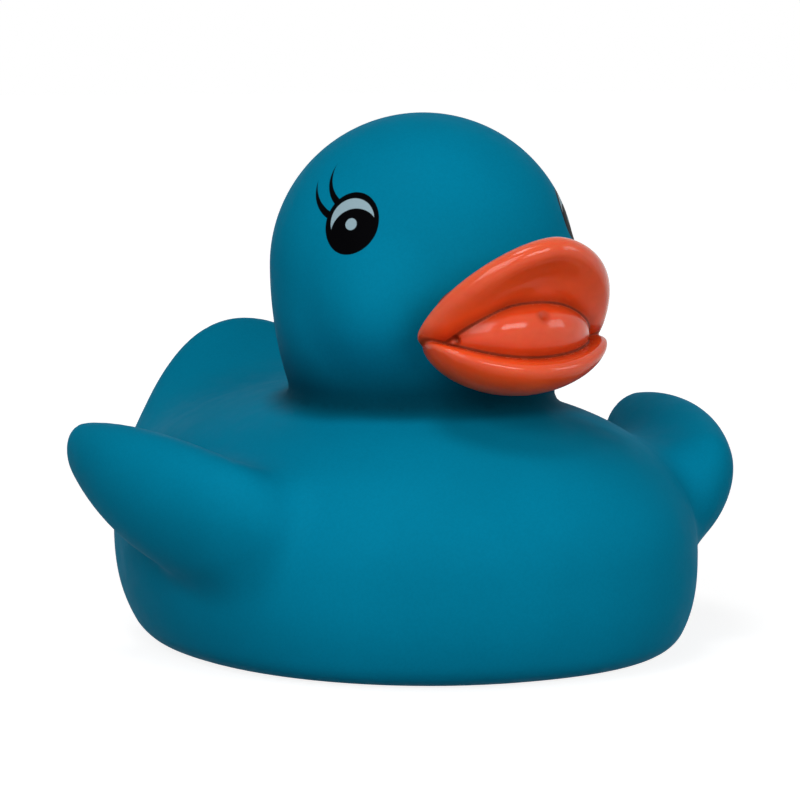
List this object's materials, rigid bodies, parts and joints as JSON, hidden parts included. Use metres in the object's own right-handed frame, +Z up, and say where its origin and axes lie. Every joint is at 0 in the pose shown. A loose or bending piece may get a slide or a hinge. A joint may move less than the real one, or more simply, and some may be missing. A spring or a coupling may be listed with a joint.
{
  "type": "squeaky bath duck",
  "caption": "Floating bath toy: a hollow soft-vinyl duck with raised wings, an open painted beak and a squeaker pressed into its flat base.",
  "frame": {"origin": "on the ground under the middle of the duck's bounding box", "axes": "+Z up from the flat base, -Y the way the beak points, +X to the duck's own left"},
  "size_m": [0.0868, 0.0874, 0.0669],
  "materials": {
    "vinyl_blue": "satin moulded soft vinyl",
    "beak_orange": "glossy paint on the vinyl",
    "eye_print": "printed ink",
    "squeaker_plastic": "natural polyethylene"
  },
  "bodies": {
    "root": {"duck_body": "vinyl_blue", "whistle": "squeaker_plastic"}
  },
  "joints": []
}
